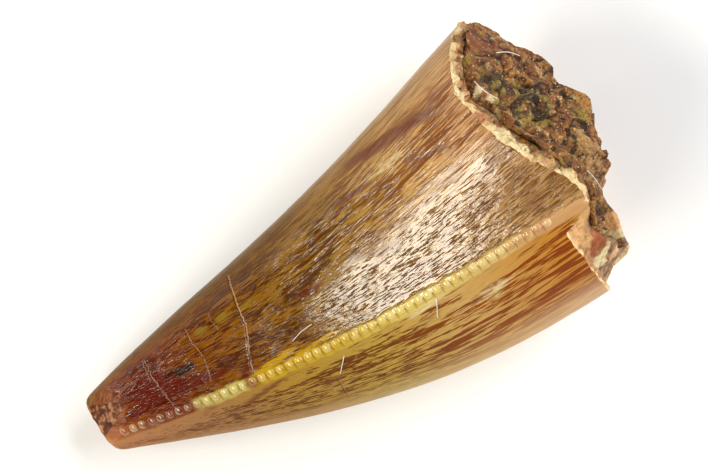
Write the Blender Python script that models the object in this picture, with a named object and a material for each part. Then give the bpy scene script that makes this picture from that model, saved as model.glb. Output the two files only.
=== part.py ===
"""A fossil phytosaur tooth, lying on its side with its tip towards -X.

Lengths are in metres and +Z is up. The crown is one tapering shell of enamel and dentine, open where its
base is broken across. A plug of mudstone fills the pulp cavity. Both carinae, the sharp edges that run
from the tip to the base, carry a row of denticles.

A station is a distance from the tip towards the base. An angle is measured round the crown from straight
up, positive towards -Y.
"""

import math

import bmesh
import bpy
from mathutils import Vector, noise

MM = 0.001

# The crown's outline, seen from above
CROWN_LENGTH = 15.46 * MM
TIP_WIDTH = 1.92 * MM
BASE_WIDTH = 8.97 * MM
SIDE_BULGE = 2.91 * MM
AXIS_SLOPE = 0.044
BOW = 0.62 * MM
BOW_BIAS = 1.25

# The crown's depth, and how its underside meets the surface that it lies on
DEPTH_RATIO = 0.90
REST_STATION = 10.0 * MM
REST_DEPTH = 0.19 * MM
REST_CURVE = 0.0042 / MM

# The worn, blunt tip: (distance back from the end, share of the full section)
TIP_STEPS = ((-0.09 * MM, 0.45), (-0.06 * MM, 0.74), (0.0, 0.90), (0.09 * MM, 0.975), (0.25 * MM, 1.0))
WEAR_LENGTH = 1.15 * MM
WEAR_ANGLE = math.radians(-16)
WEAR_NORMAL = Vector((-0.66, 0.20, 0.72))
WEAR_CUTTER = 3.0 * MM

# The carinae: sharp keels, the first on the upper side and the second hidden underneath
KEEL_ANGLE = math.radians(16.0)
KEEL_SWING = math.radians(6.5)
KEEL_HEIGHT = 0.045
KEEL_SPREAD = math.radians(10)
SECOND_KEEL = math.radians(200)
DENTICLE_PITCH = 0.32 * MM
DENTICLE_COUNT = 47
DENTICLE_START = 0.50 * MM
DENTICLE_HEIGHT = 0.13 * MM
DENTICLE_WIDTH = 0.34 * MM
NOTCH_SHARE = 0.25

# The section of the serrated bar: (place across its half width, share of its height)
DENTICLE_PROFILE = ((-1.0, -0.8), (-0.6, 0.45), (0.0, 1.0), (0.6, 0.45), (1.0, -0.8))

# The broken base: a wall that leans towards the base below, dips, and rises to a horn by the carina
RIM_STATION = 16.60 * MM
RIM_LEAN = 0.19
RIM_DIP = 0.73 * MM
RIM_DIP_ANGLE = math.radians(-46)
RIM_DIP_SPREAD = math.radians(33)
RIM_HORN = 0.90 * MM
RIM_HORN_ANGLE = math.radians(18)
RIM_HORN_SPREAD = math.radians(20)
RIM_LIP = 0.30 * MM
RIM_ROUGHNESS = 0.05 * MM

# A large chip out of the wall, below the carina
CHIP_STATION = 15.66 * MM
CHIP_START = math.radians(5.5)
CHIP_END = math.radians(93)
CHIP_HOLLOW = 0.22

# The pulp cavity and the mudstone in it
CAVITY_START = 7.0 * MM
CAVITY_POWER = 0.55
WALL_AT_SIDES = 0.60 * MM
WALL_AT_TOP = 0.50 * MM
CAVITY_SHIFT = 0.30 * MM
CAVITY_FRACTIONS = (0.03, 0.10, 0.22, 0.40, 0.65, 1.0)
MATRIX_GAP = 0.05 * MM
MATRIX_DOME = 1.15 * MM
MATRIX_PROUD = 0.25 * MM
MATRIX_ROUGHNESS = 0.34 * MM
MATRIX_GRAIN = 0.95 * MM
FINER_GRAIN = 2.3
EDGE_POWER = 8

# Lumps and pits on the mudstone's broken end: (place along Y, place along Z, radius, height)
MATRIX_LUMPS = (
    (4.10 * MM, -0.30 * MM, 0.60 * MM, 0.45 * MM),
    (3.20 * MM, -0.90 * MM, 0.55 * MM, 0.22 * MM),
    (2.20 * MM, -1.50 * MM, 0.62 * MM, 0.55 * MM),
    (0.75 * MM, -1.80 * MM, 0.60 * MM, 0.88 * MM),
    (0.00 * MM, -2.30 * MM, 0.60 * MM, 0.35 * MM),
    (-1.10 * MM, -1.70 * MM, 0.80 * MM, 0.20 * MM),
    (-2.10 * MM, -1.20 * MM, 0.60 * MM, -0.45 * MM),
    (1.68 * MM, -1.60 * MM, 0.22 * MM, -0.40 * MM),
    (2.60 * MM, 1.00 * MM, 0.38 * MM, 0.38 * MM),
    (1.20 * MM, 2.30 * MM, 0.42 * MM, 0.32 * MM),
    (-0.80 * MM, 0.60 * MM, 0.80 * MM, 0.35 * MM),
    (1.90 * MM, 1.20 * MM, 0.45 * MM, -0.60 * MM),
    (0.55 * MM, 2.00 * MM, 0.40 * MM, -0.55 * MM),
    (0.20 * MM, 0.30 * MM, 0.30 * MM, -0.35 * MM),
    (-2.60 * MM, 0.60 * MM, 0.60 * MM, -0.45 * MM),
)

# Where the middle of the whole tooth's outline lies, from the tip and across the axis
MIDDLE_STATION = 9.266 * MM
MIDDLE_ACROSS = 0.554 * MM

# How finely the faceted forms are divided
BODY_RINGS = 22
BODY_END = 14.90 * MM
MATRIX_RINGS = 14
MATRIX_OUTERMOST = 0.975
MATRIX_TURNS = 54
ROUND_STEP = math.radians(9)
KEEL_STEP = math.radians(3.5)
CHIP_STEP = math.radians(0.8)

ENAMEL_COLOUR = (0.42, 0.20, 0.055, 1.0)
MATRIX_COLOUR = (0.13, 0.055, 0.022, 1.0)


def clear_scene():
    """Remove every object that the file opened with."""
    for item in list(bpy.data.objects):
        bpy.data.objects.remove(item, do_unlink=True)


def new_collection(name):
    collection = bpy.data.collections.new(name)
    bpy.context.scene.collection.children.link(collection)
    return collection


def new_material(name, colour, roughness):
    material = bpy.data.materials.new(name)
    material.use_nodes = True
    shader = material.node_tree.nodes["Principled BSDF"]
    shader.inputs["Base Color"].default_value = colour
    shader.inputs["Roughness"].default_value = roughness
    shader.inputs["Metallic"].default_value = 0.0
    material.diffuse_color = colour
    return material


def swell(angle, middle, spread):
    """A smooth bump of height 1 round the crown, centred on one angle."""
    turn = math.remainder(angle - middle, 2 * math.pi)
    return math.exp(-(turn / spread) ** 2)


def half_width(station):
    share = station / CROWN_LENGTH
    return 0.5 * (TIP_WIDTH + (BASE_WIDTH - TIP_WIDTH) * share + SIDE_BULGE * share * (1 - share))


def half_depth(station):
    return DEPTH_RATIO * half_width(station)


def axis_point(station):
    """The middle of the section: bowed in plan, with the underside nearly straight."""
    share = max(station, 0.0) / CROWN_LENGTH
    across = AXIS_SLOPE * station + BOW * math.sin(math.pi * share ** BOW_BIAS)
    below = REST_CURVE * (station - REST_STATION) ** 2 - REST_DEPTH
    return Vector((station - MIDDLE_STATION, MIDDLE_ACROSS - across, below + half_depth(station)))


def keel_angle(station):
    """The first carina wanders a few degrees on its way to the base."""
    share = station / CROWN_LENGTH
    return KEEL_ANGLE + KEEL_SWING * (2 * share - 1.15) ** 2


def oval_point(station, angle, wide, deep):
    return axis_point(station) + Vector((0.0, -wide * math.sin(angle), deep * math.cos(angle)))


def crown_point(station, angle, share=1.0, lift=0.0):
    """A point on the outside of the crown, raised into a keel at both carinae."""
    first = math.remainder(angle - keel_angle(station), 2 * math.pi)
    second = math.remainder(first - SECOND_KEEL, 2 * math.pi)
    ridge = math.exp(-abs(first) / KEEL_SPREAD) + math.exp(-abs(second) / KEEL_SPREAD)
    wide = half_width(station) * (1 + KEEL_HEIGHT * ridge) + lift
    deep = half_depth(station) * (1 + KEEL_HEIGHT * ridge) + lift
    return oval_point(station, angle, wide * share, deep * share)


def break_station(angle):
    """How far the unchipped wall reaches at one angle."""
    station = RIM_STATION - RIM_LEAN * half_depth(RIM_STATION) * math.cos(angle)
    station -= RIM_DIP * swell(angle, RIM_DIP_ANGLE, RIM_DIP_SPREAD)
    station += RIM_HORN * swell(angle, RIM_HORN_ANGLE, RIM_HORN_SPREAD)
    return station


def outer_rim(turn):
    """The enamel's broken edge, cut back where the chip is. The turn is measured from the carina."""
    station = break_station(keel_angle(CROWN_LENGTH) + turn)
    if CHIP_START < turn < CHIP_END:
        station = min(station, CHIP_STATION)
    return station


def inner_rim(turn):
    return break_station(keel_angle(CROWN_LENGTH) + turn) + RIM_LIP


def cavity_point(station, turn, gap=0.0):
    """A point on the wall of the pulp cavity, or on the mudstone a gap inside it."""
    angle = keel_angle(CROWN_LENGTH) + turn
    growth = ((station - CAVITY_START) / (RIM_STATION - CAVITY_START)) ** CAVITY_POWER
    wide = growth * (half_width(RIM_STATION) - WALL_AT_SIDES) - gap
    deep = growth * (half_depth(RIM_STATION) - WALL_AT_TOP) - gap
    return oval_point(station, angle, wide, deep) + Vector((0.0, CAVITY_SHIFT * growth, 0.0))


def section_turns():
    """Turns round the section from the first carina, with extra ones at the keels and at the chip."""
    turns = {round(step * ROUND_STEP, 6) for step in range(int(2 * math.pi / ROUND_STEP))}
    for keel in (0.0, SECOND_KEEL):
        turns |= {round(keel + side * KEEL_STEP, 6) % (2 * math.pi) for side in (-1, 0, 1)}
    for edge in (CHIP_START, CHIP_END):
        turns |= {round(edge - CHIP_STEP / 2, 6), round(edge + CHIP_STEP / 2, 6)}
    ordered = sorted(turns)
    following = ordered[1:] + [ordered[0] + 2 * math.pi]
    return [turn for turn, after in zip(ordered, following) if after - turn > CHIP_STEP / 2]


def loft(name, rings, material, collection):
    """Join rings of points, all of one length, into a closed body."""
    body = bmesh.new()
    loops = [[body.verts.new(point) for point in ring] for ring in rings]
    count = len(rings[0])
    for loop, after in zip(loops, loops[1:]):
        for step in range(count):
            beside = (step + 1) % count
            body.faces.new((loop[step], loop[beside], after[beside], after[step]))
    body.faces.new(loops[0])
    body.faces.new(loops[-1])
    bmesh.ops.recalc_face_normals(body, faces=body.faces)
    mesh = bpy.data.meshes.new(name)
    body.to_mesh(mesh)
    body.free()
    mesh.materials.append(material)
    mesh.shade_smooth()
    mesh.set_sharp_from_angle(angle=math.radians(35))
    item = bpy.data.objects.new(name, mesh)
    collection.objects.link(item)
    return item


def add_boolean(item, cutter, operation):
    """Join another body to an object, or cut it away, and hide that body."""
    cutter.hide_render = True
    cutter.display_type = "WIRE"
    modifier = item.modifiers.new(cutter.name, "BOOLEAN")
    modifier.operation = operation
    modifier.solver = "EXACT"
    modifier.object = cutter


def crown_rings(turns):
    """Rings from the tip along the outside, over the broken wall and back down the pulp cavity."""
    rings = []
    for station, share in TIP_STEPS:
        rings.append([crown_point(station, keel_angle(station) + turn, share) for turn in turns])
    first = TIP_STEPS[-1][0]
    for step in range(1, BODY_RINGS + 1):
        station = first + (BODY_END - first) * step / BODY_RINGS
        rings.append([crown_point(station, keel_angle(station) + turn) for turn in turns])
    outer = [crown_point(outer_rim(turn), keel_angle(CROWN_LENGTH) + turn) for turn in turns]
    inner = [cavity_point(inner_rim(turn), turn) for turn in turns]
    middle = []
    for turn, start, end in zip(turns, outer, inner):
        point = start.lerp(end, 0.5)
        if CHIP_START < turn < CHIP_END:
            point.x = start.x + CHIP_HOLLOW * (end.x - start.x)
        point.x += RIM_ROUGHNESS * noise.noise(point / (4 * RIM_ROUGHNESS))
        middle.append(point)
    rings += [outer, middle, inner]
    for fraction in reversed(CAVITY_FRACTIONS[:-1]):
        rings.append([cavity_point(cavity_station(turn, fraction), turn) for turn in turns])
    rings.append([cavity_point(cavity_station(turn, CAVITY_FRACTIONS[0] / 20), turn) for turn in turns])
    return rings


def cavity_station(turn, fraction):
    return CAVITY_START + fraction * (inner_rim(turn) - CAVITY_START)


def matrix_relief(y, z):
    """Height of the mudstone's broken end above its smooth dome."""
    place = Vector((1.0, y / MATRIX_GRAIN, z / MATRIX_GRAIN))
    relief = MATRIX_ROUGHNESS * (noise.noise(place) + 0.5 * noise.noise(FINER_GRAIN * place))
    for place_y, place_z, radius, height in MATRIX_LUMPS:
        reach = ((y - place_y) ** 2 + (z - place_z) ** 2) / radius ** 2
        relief += height * math.exp(-reach)
    return relief


def matrix_rings(turns):
    """Rings up the cavity from its deep end, then inwards over the lumpy broken end."""
    rings = []
    for fraction in CAVITY_FRACTIONS:
        rings.append([cavity_point(cavity_station(turn, fraction), turn, MATRIX_GAP) for turn in turns])
    edge = rings[-1]
    centre = axis_point(RIM_STATION) + Vector((0.0, CAVITY_SHIFT, 0.0))
    for step in range(MATRIX_RINGS):
        share = MATRIX_OUTERMOST * (1 - step / MATRIX_RINGS)
        ring = []
        for turn, rim in zip(turns, edge):
            y = (rim.y - centre.y) * share
            z = (rim.z - centre.z) * share
            plane = centre.x - RIM_LEAN * z + MATRIX_DOME * (1 - share ** 2)
            inside = 1 - share ** EDGE_POWER
            x = rim.x + inside * (plane - rim.x + matrix_relief(y, z)) + MATRIX_PROUD * (1 - inside)
            ring.append(Vector((x, centre.y + y, centre.z + z)))
        rings.append(ring)
    return rings


def denticle_rings(base_turn):
    """A serrated bar along a carina, sunk in the keel: high at each denticle and low at each notch."""
    rings = []
    for step in range(2 * DENTICLE_COUNT + 1):
        station = DENTICLE_START + step * DENTICLE_PITCH / 2
        height = DENTICLE_HEIGHT * (1.0 if step % 2 else NOTCH_SHARE)
        ring = []
        for side, level in DENTICLE_PROFILE:
            turn = base_turn + side * DENTICLE_WIDTH / 2 / half_width(station)
            lift = height * level if level > 0 else DENTICLE_HEIGHT * level
            ring.append(crown_point(station, keel_angle(station) + turn, lift=lift))
        rings.append(ring)
    return rings


def box_cutter(name, size, centre, normal, collection):
    """A cube whose lower face lies on a plane through the given point."""
    bpy.ops.mesh.primitive_cube_add(size=size, location=centre + normal.normalized() * size / 2)
    cutter = bpy.context.active_object
    cutter.name = name
    cutter.rotation_euler = normal.to_track_quat("Z", "Y").to_euler()
    for owner in list(cutter.users_collection):
        owner.objects.unlink(cutter)
    collection.objects.link(cutter)
    return cutter


def build_crown(turns, material, collection, cutters):
    crown = loft("crown", crown_rings(turns), material, collection)
    for name, turn in (("upper_denticles", 0.0), ("lower_denticles", SECOND_KEEL)):
        add_boolean(crown, loft(name, denticle_rings(turn), material, cutters), "UNION")
    worn_from = crown_point(WEAR_LENGTH, WEAR_ANGLE)
    worn_tip = box_cutter("worn_tip", WEAR_CUTTER, worn_from, WEAR_NORMAL, cutters)
    rest_spot = box_cutter("rest_spot", 2 * CROWN_LENGTH, Vector(), Vector((0.0, 0.0, -1.0)), cutters)
    for cutter in (worn_tip, rest_spot):
        add_boolean(crown, cutter, "DIFFERENCE")


def main():
    clear_scene()
    tooth = new_collection("phytosaur_tooth")
    cutters = new_collection("cutters")
    enamel = new_material("enamel", ENAMEL_COLOUR, 0.25)
    mudstone = new_material("mudstone", MATRIX_COLOUR, 0.85)
    build_crown(section_turns(), enamel, tooth, cutters)
    even_turns = [2 * math.pi * step / MATRIX_TURNS for step in range(MATRIX_TURNS)]
    loft("cavity_matrix", matrix_rings(even_turns), mudstone, tooth)


main()
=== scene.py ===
"""The look of a fossil phytosaur tooth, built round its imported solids.

Lengths are in metres. The tip lies towards -X, the broken base towards +X, and +Z is up. A station is a
distance from the tip towards the base. An angle is measured round the crown from straight up, positive
towards -Y. A turn is measured the same way, but from the upper carina, which is the serrated edge.
"""

import math

import bpy
import numpy as np
from mathutils import Matrix, Vector, noise


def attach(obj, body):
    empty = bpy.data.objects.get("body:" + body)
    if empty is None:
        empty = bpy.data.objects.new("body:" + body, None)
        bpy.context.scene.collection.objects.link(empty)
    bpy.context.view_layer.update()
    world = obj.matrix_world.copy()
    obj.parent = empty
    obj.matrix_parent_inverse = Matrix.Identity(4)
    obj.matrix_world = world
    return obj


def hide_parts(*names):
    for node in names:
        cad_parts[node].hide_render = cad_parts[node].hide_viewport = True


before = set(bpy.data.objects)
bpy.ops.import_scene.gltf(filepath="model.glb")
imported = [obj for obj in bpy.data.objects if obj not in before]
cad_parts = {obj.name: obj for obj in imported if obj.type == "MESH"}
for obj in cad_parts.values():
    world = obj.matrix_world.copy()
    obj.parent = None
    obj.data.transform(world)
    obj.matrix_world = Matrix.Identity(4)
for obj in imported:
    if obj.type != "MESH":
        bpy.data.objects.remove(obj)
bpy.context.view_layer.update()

# noise_vector starts from a seed, which is otherwise the time of day
noise.seed_set(3)

MM = 0.001

# The crown's form, as in the solids
CROWN_LENGTH = 15.46 * MM
TIP_WIDTH = 1.92 * MM
BASE_WIDTH = 8.97 * MM
SIDE_BULGE = 2.91 * MM
AXIS_SLOPE = 0.044
BOW = 0.62 * MM
BOW_BIAS = 1.25
DEPTH_RATIO = 0.90
REST_STATION = 10.0 * MM
REST_DEPTH = 0.19 * MM
REST_CURVE = 0.0042 / MM
MIDDLE_STATION = 9.266 * MM
MIDDLE_ACROSS = 0.554 * MM
TIP_START = -0.09 * MM
TIP_STEPS = ((0.0, 0.0), (0.0, 0.25), (0.0, 0.45), (0.03 * MM, 0.74), (0.09 * MM, 0.90),
             (0.18 * MM, 0.975), (0.34 * MM, 1.0))
WEAR_LENGTH = 1.15 * MM
WEAR_ANGLE = math.radians(-16)
WEAR_NORMAL = Vector((-0.66, 0.20, 0.72)).normalized()
WEAR_ROUGHNESS = 0.035 * MM
KEEL_ANGLE = math.radians(16.0)
KEEL_SWING = math.radians(6.5)
KEEL_HEIGHT = 0.045
KEEL_SPREAD = math.radians(10)
SECOND_KEEL = math.radians(200)

# The low relief of the enamel
WAVE_HEIGHT = 0.016
FURROW_HEIGHT = 0.011
FURROW_LEVEL = 0.4
TIP_FADE = 1.5

# Where the enamel changes colour round the crown: the flank below the carina, the shoulder above it
FLANK_BLEND = math.radians(4)
FLANK_END = math.radians(175)
FLANK_BACK = math.radians(-160)
SHOULDER_START = 46
SHOULDER_RUN = 24
SKIN_SPREAD = 3.2
UPPER_EDGE = 4

# The worn patch of the tip, in millimetres: a triangle that narrows towards the base
WORN_SLOPE = 0.41
WORN_END = 1.42
WORN_MIDDLE = -0.20
WORN_EDGE = 0.12

# The broken base
RIM_STATION = 16.60 * MM
RIM_LEAN = 0.19
RIM_DIP = 0.73 * MM
RIM_DIP_ANGLE = math.radians(-46)
RIM_DIP_SPREAD = math.radians(33)
RIM_HORN = 0.90 * MM
RIM_HORN_ANGLE = math.radians(18)
RIM_HORN_SPREAD = math.radians(20)
RIM_LIP = 0.30 * MM
CHIP_STATION = 15.66 * MM
CHIP_START = math.radians(3.0)
CHIP_SLANT = math.radians(6.0)
CHIP_END = math.radians(93)
CHIP_HOLLOW = 0.22
CHIP_CALM = 0.6
SCOOP_DEPTH = 0.22 * MM
SCOOP_TURN = math.radians(46)
SCOOP_SPREAD = math.radians(14)
SCOOP_MIDDLE = 0.45
SCOOP_WIDTH = 0.22
SPALL_DEPTH = 0.16 * MM
SPALL_TURN = math.radians(95)
SPALL_SPREAD = math.radians(28)
SPALL_RUN = 0.15 * MM
WALL_ROUGHNESS = 0.12 * MM
CHIP_ROUGHNESS = 0.07 * MM
WALL_LUMP = 0.36 * MM
BLOCKS_START = math.radians(-58)
BLOCKS_END = math.radians(-35)
BLOCK_WIDTH = math.radians(7.5)
BLOCK_STEP = 0.07 * MM
CAVITY_START = 7.0 * MM
CAVITY_POWER = 0.55
WALL_AT_SIDES = 0.60 * MM
WALL_AT_TOP = 0.50 * MM
CAVITY_SHIFT = 0.30 * MM
MATRIX_GAP = 0.05 * MM
MATRIX_DOME = 1.15 * MM
MATRIX_PROUD = 0.25 * MM
MATRIX_ROUGHNESS = 0.34 * MM
MATRIX_GRAIN = 0.95 * MM
FINER_GRAIN = 2.3
EDGE_POWER = 8
CRUST = 0.42 * MM
SETBACK = 0.85 * MM
SETBACK_FROM = -2.00 * MM
SETBACK_RUN = 1.30 * MM
RECESS = 0.90 * MM
RECESS_TURN = math.radians(125)
RECESS_SPREAD = math.radians(36)

# The camera leans back from straight above, and its frame is turned, so that the tip points down left
VIEW_LEAN = math.radians(5)
VIEW_ROLL = math.radians(34)
VIEW_TARGET = Vector((0.894, 1.054, 4.0)) * MM
VIEW_WIDTH = 21.45 * MM
LENS = 180
SENSOR = 36

# The outline of the broken end seen by that camera, in millimetres: (place along y, reach)
OUTLINE = np.array((
    (-3.92, 7.22), (-2.95, 7.61), (-2.46, 7.58), (-2.22, 7.62), (-1.98, 7.76), (-1.73, 8.04),
    (-1.49, 8.19), (-0.28, 8.42), (0.21, 8.76), (0.45, 8.84), (0.70, 8.81), (1.42, 8.31),
    (1.67, 8.24), (1.91, 8.41), (2.40, 8.32), (2.88, 8.05), (3.12, 7.82), (3.37, 7.78),
    (4.10, 7.44), (4.34, 7.13), (4.48, 6.70),
)).T * MM

# Lumps and hollows of the mudstone's broken end, in millimetres from its middle: (y, z, radius, height)
MATRIX_LUMPS = (
    (4.10, -0.30, 0.60, 0.30), (3.20, -0.90, 0.55, 0.12), (1.80, -1.50, 0.62, 0.50),
    (0.40, -1.80, 0.60, 0.70), (-3.30, -0.60, 1.10, -0.95), (0.00, -2.30, 0.60, 0.35),
    (-1.10, -1.70, 0.80, 0.20), (-2.10, -1.20, 0.60, -0.45), (1.68, -1.60, 0.22, -0.40),
    (2.60, 1.00, 0.38, 0.38), (1.20, 2.30, 0.42, 0.32), (-0.80, 0.60, 0.80, 0.35),
    (1.90, 1.20, 0.45, -0.60), (0.55, 2.00, 0.40, -0.55), (0.20, 0.30, 0.30, -0.35),
    (-2.60, 0.60, 0.60, -0.45),
)

# The crumbs of the mudstone, largest first: (size, share of their height, where their pattern starts)
CRUMBS = (
    (0.66 * MM, 0.85, Vector((0.0, 0.0, 0.0))),
    (0.30 * MM, 0.90, Vector((7.3, 2.1, 4.2))),
    (0.13 * MM, 0.85, Vector((3.3, 8.1, 1.2))),
)
CRUMB_LEVEL = 0.34 * MM
CRUMB_BEND = 0.16 * MM
# How strongly crevices of each size, and lying deep, are darkened as painted shade
CREVICE_SHADE_WEIGHTS = (0.55, 0.35, 0.15)
DEPTH_SHADE_LEVEL = 1.3
CALM_SPOT = (3.4, 1.0)
CALM_AREA = 1.2
STONE_SHAKE = 0.05 * MM
LAP_SHARE = 0.965
LAP_SPREAD = 0.03
LOW_SIDE = math.radians(100)
LOW_SIDE_SPREAD = math.radians(40)
TRIM = 0.94

# The denticles
DENTICLE_PITCH = 0.32 * MM
DENTICLE_COUNT = 47
DENTICLE_START = 0.50 * MM
DENTICLE_SIZE = Vector((0.27, 0.26, 0.19)) * MM
DENTICLE_SINK = 0.058 * MM

# How finely the pieces are divided, and how close their seams lie
CROWN_TURNS = 600
SKIN_ROWS = 112
SKIN_END = 14.90 * MM
RIM_ROWS = 12
WALL_ROWS = 14
LINING = (0.985, 0.95, 0.85, 0.6, 0.3, 0.08, 0.0)
MATRIX_TURNS = 480
MATRIX_SIDE = (0.03, 0.10, 0.22, 0.40, 0.65, 0.85, 0.95, 0.985, 1.0)
MATRIX_ROWS = 170
WELD_DISTANCE = 0.0001 * MM


def half_width(station):
    share = station / CROWN_LENGTH
    return 0.5 * (TIP_WIDTH + (BASE_WIDTH - TIP_WIDTH) * share + SIDE_BULGE * share * (1 - share))


def half_depth(station):
    return DEPTH_RATIO * half_width(station)


def axis_across(station):
    share = np.maximum(station, 0.0) / CROWN_LENGTH
    return AXIS_SLOPE * station + BOW * np.sin(math.pi * share ** BOW_BIAS)


def axis_height(station):
    return REST_CURVE * (station - REST_STATION) ** 2 - REST_DEPTH + half_depth(station)


def keel_angle(station):
    return KEEL_ANGLE + KEEL_SWING * (2 * station / CROWN_LENGTH - 1.15) ** 2


def swell(angle, middle, spread):
    turn = math.remainder(angle - middle, 2 * math.pi)
    return math.exp(-(turn / spread) ** 2)


def waver(turn, often, chance):
    """A number near 0 that changes smoothly with the turn, more often where asked."""
    return noise.noise(Vector((often * turn, 0.0, chance)))


def oval_point(station, angle, wide, deep):
    return Vector((
        station - MIDDLE_STATION,
        MIDDLE_ACROSS - axis_across(station) - wide * math.sin(angle),
        axis_height(station) + deep * math.cos(angle),
    ))


def crown_point(station, angle, share=1.0, lift=0.0):
    first = math.remainder(angle - keel_angle(station), 2 * math.pi)
    second = math.remainder(first - SECOND_KEEL, 2 * math.pi)
    ridge = math.exp(-abs(first) / KEEL_SPREAD) + math.exp(-abs(second) / KEEL_SPREAD)
    wide = half_width(station) * (1 + KEEL_HEIGHT * ridge) + lift
    deep = half_depth(station) * (1 + KEEL_HEIGHT * ridge) + lift
    return oval_point(station, angle, wide * share, deep * share)


def break_station(angle):
    station = RIM_STATION - RIM_LEAN * half_depth(RIM_STATION) * math.cos(angle)
    station -= RIM_DIP * swell(angle, RIM_DIP_ANGLE, RIM_DIP_SPREAD)
    return station + RIM_HORN * swell(angle, RIM_HORN_ANGLE, RIM_HORN_SPREAD)


def past_outline(point, short=0.0):
    """How far a point of the broken end reaches past its outline, or short of it, seen from above."""
    reach = point.x * math.cos(VIEW_LEAN) - point.z * math.sin(VIEW_LEAN)
    return max(0.0, reach + short - float(np.interp(point.y, *OUTLINE)))


def outer_rim(turn):
    angle = keel_angle(CROWN_LENGTH) + turn
    station = break_station(angle)
    station -= past_outline(crown_point(station, angle))
    ragged = 0.08 * MM * waver(turn, 9, 1.7) + 0.05 * MM * waver(turn, 31, 5.1)
    if CHIP_START < turn < CHIP_END:
        slant = (turn - CHIP_START) / CHIP_SLANT + 0.35 * waver(turn, 40, 3.3)
        station += max(0.0, min(1.0, slant)) * min(0.0, CHIP_STATION - station)
        ragged *= CHIP_CALM
    return station + ragged - SPALL_DEPTH * swell(turn, SPALL_TURN + SPALL_SPREAD, SPALL_SPREAD)


def inner_rim(turn):
    lip = RIM_LIP * (1.0 + 0.9 * waver(turn, 3.3, 6.1))
    station = break_station(keel_angle(CROWN_LENGTH) + turn) + lip
    return station - past_outline(cavity_point(station, turn))


def cavity_point(station, turn, gap=0.0):
    angle = keel_angle(CROWN_LENGTH) + turn
    growth = (max(station - CAVITY_START, 0.0) / (RIM_STATION - CAVITY_START)) ** CAVITY_POWER
    wide = growth * (half_width(RIM_STATION) - WALL_AT_SIDES) - gap
    deep = growth * (half_depth(RIM_STATION) - WALL_AT_TOP) - gap
    return oval_point(station, angle, wide, deep) + Vector((0.0, CAVITY_SHIFT * growth, 0.0))


def start_clean():
    """Leave nothing selected, so that the next operator acts on the new piece alone."""
    if bpy.context.object and bpy.context.object.mode != "OBJECT":
        bpy.ops.object.mode_set(mode="OBJECT")
    bpy.ops.object.select_all(action="DESELECT")


def weld():
    """Close the seam and the poles of the new piece, and turn its faces outwards."""
    bpy.ops.object.mode_set(mode="EDIT")
    bpy.ops.mesh.select_all(action="SELECT")
    bpy.ops.mesh.remove_doubles(threshold=WELD_DISTANCE)
    bpy.ops.mesh.normals_make_consistent(inside=False)
    bpy.ops.mesh.select_all(action="DESELECT")
    bpy.ops.object.mode_set(mode="OBJECT")


def wrapped_grid(name, turns, rows, place, last_skin_row):
    """Wrap a flat grid round the tooth: place gives each turn and row its point, and how much painted
    shade it gets for lying in a crevice or a recess.
    """
    start_clean()
    bpy.ops.mesh.primitive_grid_add(x_subdivisions=turns, y_subdivisions=rows, size=2)
    item = bpy.context.active_object
    item.name = name
    item.data.name = name
    depth = []
    hollow = []
    for vertex in item.data.vertices:
        turn = math.pi * vertex.co.x
        row = round((vertex.co.y + 1) / 2 * rows)
        vertex.co, low = place(turn, row)
        depth.append(row - last_skin_row)
        hollow.append(low)
    keep(item, "depth", depth)
    # hollow holds painted shade for crevices and recesses
    keep(item, "hollow", hollow)
    weld()
    return item


def positions(item):
    """All vertex positions of a piece, one row each."""
    flat = np.empty(3 * len(item.data.vertices))
    item.data.vertices.foreach_get("co", flat)
    return flat.reshape(-1, 3)


def tint(item, name, patches):
    """Store how strongly each of three tints shows at each vertex: round patches, in millimetres."""
    spots = positions(item) / MM
    fields = []
    for group in patches:
        total = np.zeros(len(spots))
        for x, y, z, radius in group:
            far = ((spots - np.array((x, y, z))) ** 2).sum(axis=1)
            total += np.exp(-far / radius ** 2)
        fields.append(np.clip(total, 0, 1))
    keep(item, name, *fields)


def keep(item, name, *values):
    """Store one number per vertex, or three as a vector, for the materials to read."""
    kind, field = ("FLOAT", "value") if len(values) == 1 else ("FLOAT_VECTOR", "vector")
    item.data.attributes.new(name, kind, "POINT")
    item.data.attributes[name].data.foreach_set(field, np.stack(values, axis=1).astype(float).ravel())


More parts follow.
